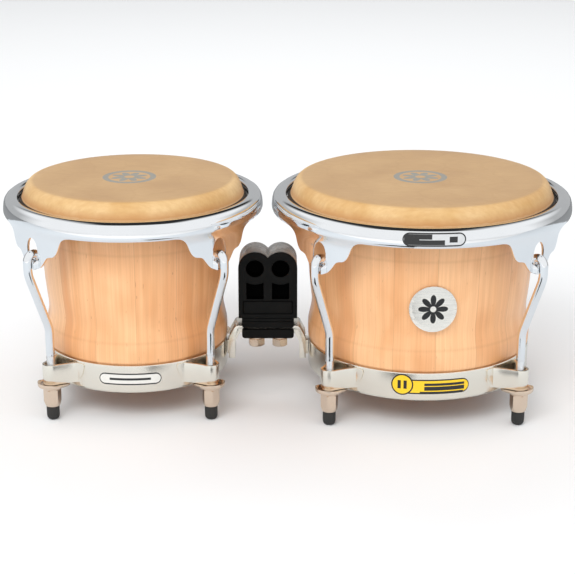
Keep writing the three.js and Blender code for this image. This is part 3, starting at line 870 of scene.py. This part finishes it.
def build_flange(drum, where):
    """Dished flange: a plate with an upturned outer lip that cups the strap's nose, on a round collar."""
    top = 37.6
    section = [
        (4.7, FLANGE_LOW), (8.8, FLANGE_LOW), (9.3, 33.3), (9.3, 34.4), (11.6, 34.8), (12.8, 35.7),
        (13.2, 37.0), (13.2, 39.3), (12.4, 39.4), (11.8, 38.2), (11.0, top), (4.7, top),
    ]
    obj = revolve(f"{drum}_dished_flange_{where}", fillet(section, 0.5, 3), 96, 35.0, flange_radius)
    for vertex in obj.data.vertices:
        around = abs(math.degrees(math.atan2(vertex.co.y, vertex.co.x)))
        fade = min(1.0, max(0.0, (around - 55) / 35))
        above = vertex.co.z - top * MM
        if above > 0:
            vertex.co.z -= above * fade
    finish_piece(at_lug(obj, drum, where), NICKEL, "frame", "nickel", f"{drum}_flange_{where}")


def hex_radius(corner, cones):
    """Radius of a hexagon with chamfered ends, as a function of height and angle."""
    flat = corner * math.cos(math.radians(30))

    def radius(r, z, angle):
        if r < corner * 0.98:
            return r
        turn = (math.degrees(angle) + 30) % 60 - 30
        hexagon = flat / math.cos(math.radians(turn))
        limit = min(start + slope * distance for start, slope, distance in cones(z))
        return min(hexagon, limit)

    return radius


def build_nut(drum, where):
    low, high, corner = NUT_LOW, FLANGE_LOW - 0.3, 8.25

    def cones(z):
        return ((6.6, 0.36, z - low), (7.3, 1.4, high - z))

    levels = [low + d for d in (0, 0.4, 0.9, 1.6, 2.4, 3.2, 4.0, 4.8)]
    levels += [high - d for d in (1.0, 0.7, 0.45, 0.2, 0)]
    outside = [(corner, z) for z in levels]
    base = [(0.0, low + 0.3), (4.6, low + 0.3), (5.4, low)]
    bore = [(5.2, high), (4.4, high - 0.8), (4.4, low + 3.0), (0.0, low + 2.6)]
    obj = revolve(f"{drum}_tuning_nut_{where}", base + outside + bore, 96, 25.0, hex_radius(corner, cones))
    finish_piece(at_lug(obj, drum, where), NICKEL, f"{drum}_tuner_{where}", "nickel", f"{drum}_nut_{where}")


def build_foot(drum, where):
    high = NUT_LOW - 0.3
    section = [
        (0, FLOOR), (2.6, FLOOR), (4.7, FLOOR + 0.7), (5.8, FLOOR + 2.6), (6.0, FLOOR + 5.0),
        (6.0, high - 1.0), (5.6, high - 0.1), (0, high),
    ]
    obj = revolve(f"{drum}_rubber_foot_{where}", fillet(section, 1.2, 4, closed=False), 48, 50.0)
    finish_piece(at_lug(obj, drum, where), RUBBER, f"{drum}_tuner_{where}", "rubber", f"{drum}_foot_{where}")


# ---- badge and labels ----

def curved_plate(name, outline, radius, thickness, rim=0.0):
    """Thin plate bent round a drum. Built facing -Y with its middle at the origin of x and z."""
    bm = bmesh.new()
    front = [bm.verts.new((x, 0, z)) for x, z in outline]
    bm.faces.new(front)
    bmesh.ops.triangulate(bm, faces=bm.faces)
    for _ in range(3):
        long_edges = [e for e in bm.edges if e.calc_length() > 3.0]
        bmesh.ops.subdivide_edges(bm, edges=long_edges, cuts=1, use_grid_fill=False)
        bmesh.ops.triangulate(bm, faces=bm.faces)
    bmesh.ops.beautify_fill(bm, faces=bm.faces, edges=bm.edges)
    extent = max(math.hypot(x, z) for x, z in outline)
    for v in bm.verts:
        reach = radius + thickness
        if rim and math.hypot(v.co.x, v.co.z) > extent - 1.4:
            reach += rim
        turn = v.co.x / radius
        v.co = Vector((reach * math.sin(turn), radius - reach * math.cos(turn), v.co.z))
    mesh = bpy.data.meshes.new(name)
    bm.to_mesh(mesh)
    bm.free()
    mesh.transform(Matrix.Scale(MM, 4))
    obj = add_object(name, mesh)
    if sum(f.normal.y for f in mesh.polygons) > 0:
        mesh.flip_normals()
    thicken(obj, thickness, False, 40.0)
    return obj


def on_drum(obj, drum, radius, degrees, z):
    """Puts a plate built facing -Y on a drum, the given angle round from straight ahead."""
    turn = math.radians(degrees)
    place(obj, CENTRE[drum] + radius * math.sin(turn), -radius * math.cos(turn), z, degrees)


def capsule(half_width, half_height):
    inner = half_width - half_height
    return arc(inner, 0, half_height, -90, 90, 12) + arc(-inner, 0, half_height, 90, 270, 12)


def build_badge():
    radius = NOMINAL["hembra"] - 1.7
    obj = curved_plate("hembra_round_badge", circle(0, 0, 21.3, 72), radius, 1.0, 0.45)
    on_drum(obj, "hembra", radius, 2.2, 120.8)
    finish_piece(obj, badge_material(), "frame", "badge_metal", "hembra_badge")


# ---- centre block ----

LOBE_X = 12.1
LOBE_Z = 131.2
LOBE_R = 15.8
BLOCK_LOW = 82.0
HALF_DEPTH = 19.0
BOLT_X = 11.2
BOLT_HOLE_R = 4.7
BASE_HALF = 24.7
CAP_FACE = 3.0
SOCKET_R = 8.35
SOCKET_DEEP = 13.9
POCKET_HALF = 8.1
POCKET_DEEP = 9.9


def block_outline(inset, low):
    radius = LOBE_R - inset
    half = LOBE_X + radius
    valley = math.degrees(math.acos(-LOBE_X / radius))
    right = arc(LOBE_X, LOBE_Z, radius, 0, valley, 24)
    left = [(-x, z) for x, z in right[-2::-1]]
    return [(-half, low), (half, low)] + right + left


def build_cap(name, node, inset, rear):
    """Moulded cap: face, plug, two round sockets, two arched pockets and a plate marked by a groove."""
    front = -HALF_DEPTH
    obj = prism(name, block_outline(inset + 0.05, BLOCK_LOW), front, front + CAP_FACE, axis="Y")
    join(obj, prism("plug", block_outline(1.85, 91.0), front + 1, -0.35, axis="Y"))
    for x in (-LOBE_X, LOBE_X):
        cut(obj, prism("socket", circle(x, LOBE_Z, SOCKET_R), front - 1, front + SOCKET_DEEP, axis="Y"))
        arch = []
        for k in range(11):
            sag = 1.9 * math.sin(math.pi * k / 10)
            arch.append((x + POCKET_HALF * (1 - k / 5), 117.4 - sag))
        pocket = [(x - POCKET_HALF, 101.1), (x + POCKET_HALF, 101.1)] + arch
        cut(obj, prism("pocket", pocket, front - 1, front + POCKET_DEEP, axis="Y"))
    groove = prism("groove", plate_outline(24.0, 86.0, 99.6), front - 1, front + 0.75, axis="Y")
    plate = prism("plate", plate_outline(22.8, 87.2, 98.4), front - 2, front + 2, axis="Y")
    cut(groove, plate)
    cut(obj, groove)
    bevel_edges(obj, 0.5, 3, 35.0, 40.0)
    if rear:
        obj.data.transform(turned(180))
    place(obj, BLOCK_X)
    finish_piece(obj, BLACK_PLASTIC, "frame", "black_plastic", node)


def plate_outline(half, low, high):
    return fillet([(-half, low), (half, low), (half, high), (-half, high)], 1.4, 3)


def build_cover():
    """Sheet cover bent over both lobes, open below, from the front cap to the back."""
    outer = block_outline(0.3, BLOCK_LOW)[1:]
    inner = block_outline(1.45, BLOCK_LOW)[1:]
    outer.append((-outer[0][0], BLOCK_LOW))
    inner.append((-inner[0][0], BLOCK_LOW))
    obj = prism("block_sheet_cover", outer + inner[::-1], 3.35 - HALF_DEPTH, HALF_DEPTH, axis="Y")
    bevel_edges(obj, 0.25, 2, 50.0, 30.0)
    place(obj, BLOCK_X)
    finish_piece(obj, COVER_METAL, "frame", "cover_metal", "block_cover")


def cut_bolt_holes(obj, low, high):
    for x in (-BOLT_X, BOLT_X):
        cut(obj, prism("hole", circle(x, 0, BOLT_HOLE_R), low, high))


def build_core():
    """Upper half of the clamp: two bands with a groove between them, under a body inside the cover."""
    deep = HALF_DEPTH - 0.05
    wide = BASE_HALF
    corners = [(-wide, 72.3), (wide, 72.3), (wide, 78.3), (-wide, 78.3)]
    obj = prism("block_clamp_base", fillet(corners, [3.0, 3.0, 0.6, 0.6], 5), -deep, deep, axis="Y")
    join(obj, box("upper_band", -wide, wide, -deep, deep, 78.9, 81.65))
    join(obj, box("neck", 0.8 - wide, wide - 0.8, 0.8 - deep, deep - 0.8, 77.0, 80.0))
    join(obj, box("waist", -wide, wide, -15.6, 15.6, 81.0, 83.0))
    join(obj, box("body", -25.7, 25.7, -15.6, 15.6, 82.1, 90.6))
    cut(obj, box("channel", -40, 40, -14.5, 14.5, 70.0, 73.0))
    cut_bolt_holes(obj, 70.0, 89.0)
    bevel_edges(obj, 0.35, 2, 50.0, 35.0)
    place(obj, BLOCK_X)
    finish_piece(obj, BLACK_PLASTIC, "frame", "black_plastic", "block_core")


def build_jaw():
    """Lower half of the clamp: rounded block with a channel for the bars and two bolt holes."""
    corners = [(-BASE_HALF, 61.8), (BASE_HALF, 61.8), (BASE_HALF, 70.35), (-BASE_HALF, 70.35)]
    deep = HALF_DEPTH - 0.05
    obj = prism("clamp_lower_jaw", fillet(corners, [3.2, 3.2, 1.6, 1.6], 5), -deep, deep, axis="Y")
    cut(obj, box("channel", -40, 40, -14.5, 14.5, 66.2, 80))
    cut_bolt_holes(obj, 60.0, 80.0)
    bevel_edges(obj, 0.5, 3, 50.0, 35.0)
    place(obj, BLOCK_X)
    finish_piece(obj, BLACK_PLASTIC, "jaw", "black_plastic", "clamp_jaw")


def build_bolt(side, x, turn):
    """Hexagon head, neck, two washers and a plain shank."""
    low, high, corner = 48.9, 56.2, 8.2

    def cones(z):
        return ((6.9, 1.1, z - low), (7.7, 1.6, high - z))

    levels = [low + d for d in (0, 0.3, 0.7, 1.1, 1.6, 2.2)] + [high - d for d in (0.6, 0.3, 0)]
    head = [(0.0, low + 0.6), (4.4, low + 0.6), (5.4, low)] + [(corner, z) for z in levels]
    washers = [
        (6.3, high), (6.3, 57.1), (7.5, 57.1), (7.75, 57.4), (7.75, 59.0), (7.4, 59.2), (7.75, 59.4),
        (7.75, 61.2), (7.5, 61.45), (4.0, 61.45),
    ]
    shank = [(4.0, 87.6), (3.6, 88.0), (0.0, 88.0)]
    obj = revolve(f"clamp_hex_bolt_{side}", head + washers + shank, 96, 25.0, hex_radius(corner, cones))
    place(obj, BLOCK_X + x, turn=turn)
    finish_piece(obj, NICKEL, f"bolt_{side}", "nickel", f"clamp_bolt_{side}")


def build_bar(side, sign, drum):
    """Flat bar from the clamp, over a slope and down to a pad on the drum's bottom ring."""
    ring_edge = CENTRE[drum] - sign * (NOMINAL[drum] + RING_OUT)
    leg_outside = -56.4 if sign < 0 else 17.6
    leg_inside = leg_outside - sign * 6.2
    inner = BLOCK_X + sign * 0.8
    corners = [
        (inner, 66.5), (inner, 72.7), (leg_outside - sign * 6.5, 72.7), (leg_outside, 60.0),
        (leg_outside, 40.0), (leg_inside, 40.0), (leg_inside, 57.0), (leg_inside - sign * 5.0, 66.5),
    ]
    outline = fillet(corners, [0.6, 0.6, 3.5, 4.0, 0.8, 0.8, 3.0, 2.5], 5)
    obj = prism(f"bridge_flat_bar_{side}", outline, -13.9, 13.9, axis="Y")
    ends = sorted([leg_outside - sign, ring_edge - sign * 0.3])
    join(obj, box("pad", *ends, -6.9, 6.9, 42.1, 55.9))
    cut(obj, prism("hole", circle(BLOCK_X + sign * BOLT_X, 0, BOLT_HOLE_R), 60.0, 80.0))
    bevel_edges(obj, 0.5, 3, 50.0, 35.0)
    place(obj)
    finish_piece(obj, RING_METAL, "frame", "ring_metal", f"bridge_bar_{side}")


def build_object():
    for drum in DRUMS:
        build_shell(drum)
        build_head(drum)
        build_hoop(drum)
        build_rim(drum)
        build_ring(drum)
        for where in LUGS:
            build_rod(drum, where)
            build_flange(drum, where)
            build_nut(drum, where)
            build_foot(drum, where)
    build_badge()
    build_cap("block_front_moulding", "block_front_cap", 0, False)
    build_cap("block_rear_moulding", "block_rear_cap", 1.8, True)
    build_cover()
    build_core()
    build_jaw()
    build_bolt("left", -BOLT_X, 10)
    build_bolt("right", BOLT_X, 0)
    build_bar("left", -1, "macho")
    build_bar("right", 1, "hembra")


# ---- labels ----

def add_label(name, drum, outline, radius, thickness, degrees, z, material, body="frame"):
    obj = curved_plate(name, outline, radius, thickness)
    on_drum(obj, drum, radius, degrees, z)
    finish_piece(obj, material, body, "badge_metal")


def build_labels():
    """Plain printed labels: one on the hembra's rim, two on its bottom ring, one on the macho's."""
    black = srgb(20, 20, 20)
    yellow = srgb(250, 205, 20)
    bars = [(-26.0, -13.0, -4.8, 4.8), (-14.0, -2.0, 0.2, 4.8), (-14.0, 9.0, -4.8, -0.4)]
    bars.append((13.0, 20.0, -2.6, 2.6))
    paint = label_material("rim_label_print", srgb(205, 207, 208), black, 27.5, 6.2, bars)
    rim = NOMINAL["hembra"] + RIM_WIDEST
    outline = capsule(27.5, 6.2)
    add_label("hembra_rim_label", "hembra", outline, rim, 0.12, 0.1, 194.6, paint, "hembra_tension_rim")

    ring = NOMINAL["hembra"] + RING_OUT
    bars = [(-8.0, 29.0, 1.0, 3.4), (-8.0, 29.0, -3.6, 0.2), (-12.0, 28.0, -7.5, -4.6)]
    paint = label_material("ring_label_print", yellow, black, 34.0, 7.0, bars)
    add_label("hembra_ring_label", "hembra", capsule(34.0, 7.0), ring, 0.12, 3.4, 46.0, paint)
    bars = [(-4.2, -1.2, -4.0, 4.0), (1.2, 4.2, -4.0, 4.0)]
    paint = label_material("ring_spot_print", yellow, black, 10.1, 10.1, bars)
    aside = 2.4 - math.degrees(26.2 / ring)
    add_label("hembra_ring_spot", "hembra", circle(0, 0, 10.1, 48), ring, 0.3, aside, 47.8, paint)

    ring = NOMINAL["macho"] + RING_OUT
    bars = [(-19.0, 19.0, -1.1, 1.1)]
    paint = label_material("macho_label_print", srgb(228, 226, 220), black, 29.0, 5.6, bars)
    add_label("macho_ring_label", "macho", capsule(29.0, 5.6), ring, 0.12, 0.2, 46.0, paint)


# ---- setting, light and camera ----

def stage_plane(name, width, depth, colour, location):
    """Level painted sheet that is part of the setting, not of the drums."""
    w, d = width / 2, depth / 2
    mesh = bpy.data.meshes.new(name)
    mesh.from_pydata([(-w, -d, 0), (w, -d, 0), (w, d, 0), (-w, d, 0)], [], [(0, 1, 2, 3)])
    obj = add_object(name, mesh)
    obj.location = location
    s = Shader(f"{name}_paint", Roughness=0.9, Specular_IOR_Level=0.0)
    s.set("Base Color", s.mix(s.noise(s.local(), 3.0), colour, tuple(c * 0.99 for c in colour)))
    obj.data.materials.append(s.material)
    return obj


def area_light(name, size, power, location, target):
    """Soft rectangular light aimed at a point, not seen in the metal."""
    data = bpy.data.lights.new(name, "AREA")
    data.shape = "RECTANGLE"
    data.size, data.size_y = size
    data.energy = power
    obj = add_object(name, data)
    obj.location = location
    obj.visible_glossy = False
    direction = Vector(target) - Vector(location)
    obj.rotation_euler = direction.to_track_quat("-Z", "Y").to_euler()


def set_world():
    """White studio, dim low down behind the drums and dark above that: the grey and black on the rims."""
    world = bpy.data.worlds.new("studio")
    bpy.context.scene.world = world
    world.use_nodes = True
    tree = world.node_tree
    background = tree.nodes["Background"]

    def node(kind, *inputs, **settings):
        made = tree.nodes.new("ShaderNode" + kind)
        for key, value in settings.items():
            setattr(made, key, value)
        for index, value in enumerate(inputs):
            if isinstance(value, bpy.types.NodeSocket):
                tree.links.new(value, made.inputs[index])
            else:
                made.inputs[index].default_value = value
        return made.outputs

    def both(a, b):
        return node("Math", a, b, operation="MULTIPLY")[0]

    x, y, z = node("SeparateXYZ", node("TexCoord")["Generated"])[:3]
    behind = node("MapRange", y, -0.1, 0.4, 0.0, 1.0)[0]
    low = node("MapRange", z, 0.36, 0.60, 1.0, 0.0)[0]
    lit = node("MapRange", both(behind, low), 0.0, 1.0, 1.0, 0.5)[0]
    aside = node("Math", x, operation="ABSOLUTE")[0]
    narrow = node("MapRange", aside, 0.22, 0.42, 1.0, 0.0)[0]
    high = both(node("MapRange", z, 0.36, 0.42, 0.0, 1.0)[0], node("MapRange", y, -0.02, 0.08, 0.0, 1.0)[0])
    dark = both(narrow, high)
    strength = both(lit, node("MapRange", dark, 0.0, 1.0, 1.0, 0.03)[0])
    tree.links.new(strength, background.inputs["Strength"])
    background.inputs["Color"].default_value = (0.97, 0.985, 1.0, 1.0)


def reflected_only(obj):
    """Leaves a stage plane to be seen in the metal and nowhere else."""
    obj.visible_camera = False
    obj.visible_diffuse = False
    obj.visible_shadow = False
    obj.visible_transmission = False


def set_stage():
    """White floor and two broad lights; metal sees the floor bluer near by, grey behind, one dark patch."""
    set_world()
    stage_plane("floor", 8.0, 8.0, (0.95, 0.95, 0.95), (0, 0.8, 0))
    reflected = (
        ("blue_floor", 8.0, 1.18, (0.76, 0.80, 0.835), (0, -0.19, 0.0004)),
        ("grey_floor", 8.0, 4.0, (0.3, 0.305, 0.31), (0, 2.4, 0.0004)),
        ("dark_patch", 0.15, 0.18, (0.02, 0.022, 0.026), (0.01, -0.34, 0.001)),
    )
    for name, width, depth, colour, location in reflected:
        reflected_only(stage_plane(name, width, depth, colour, location))
    for name, size, power, location in (
        ("key", (1.6, 1.0), 28.0, (-0.7, -1.9, 1.9)),
        ("back", (2.0, 0.6), 16.0, (0, 1.9, 2.2)),
    ):
        area_light(name, size, power, location, (0, 0, 0.1))


LOOK_DOWN = 17.84


def set_camera():
    """Long lens at the photograph's viewing angle."""
    data = bpy.data.cameras.new("photo_view")
    data.lens = 98.7
    data.sensor_width = 36.0
    obj = add_object("photo_view", data)
    obj.location = (0.0, -1.4358, 0.5664)
    obj.rotation_euler = (math.radians(90 - LOOK_DOWN), 0.0, 0.0)
    bpy.context.scene.camera = obj


build_object()
build_labels()
set_stage()
set_camera()
bpy.context.scene.view_settings.view_transform = "Standard"
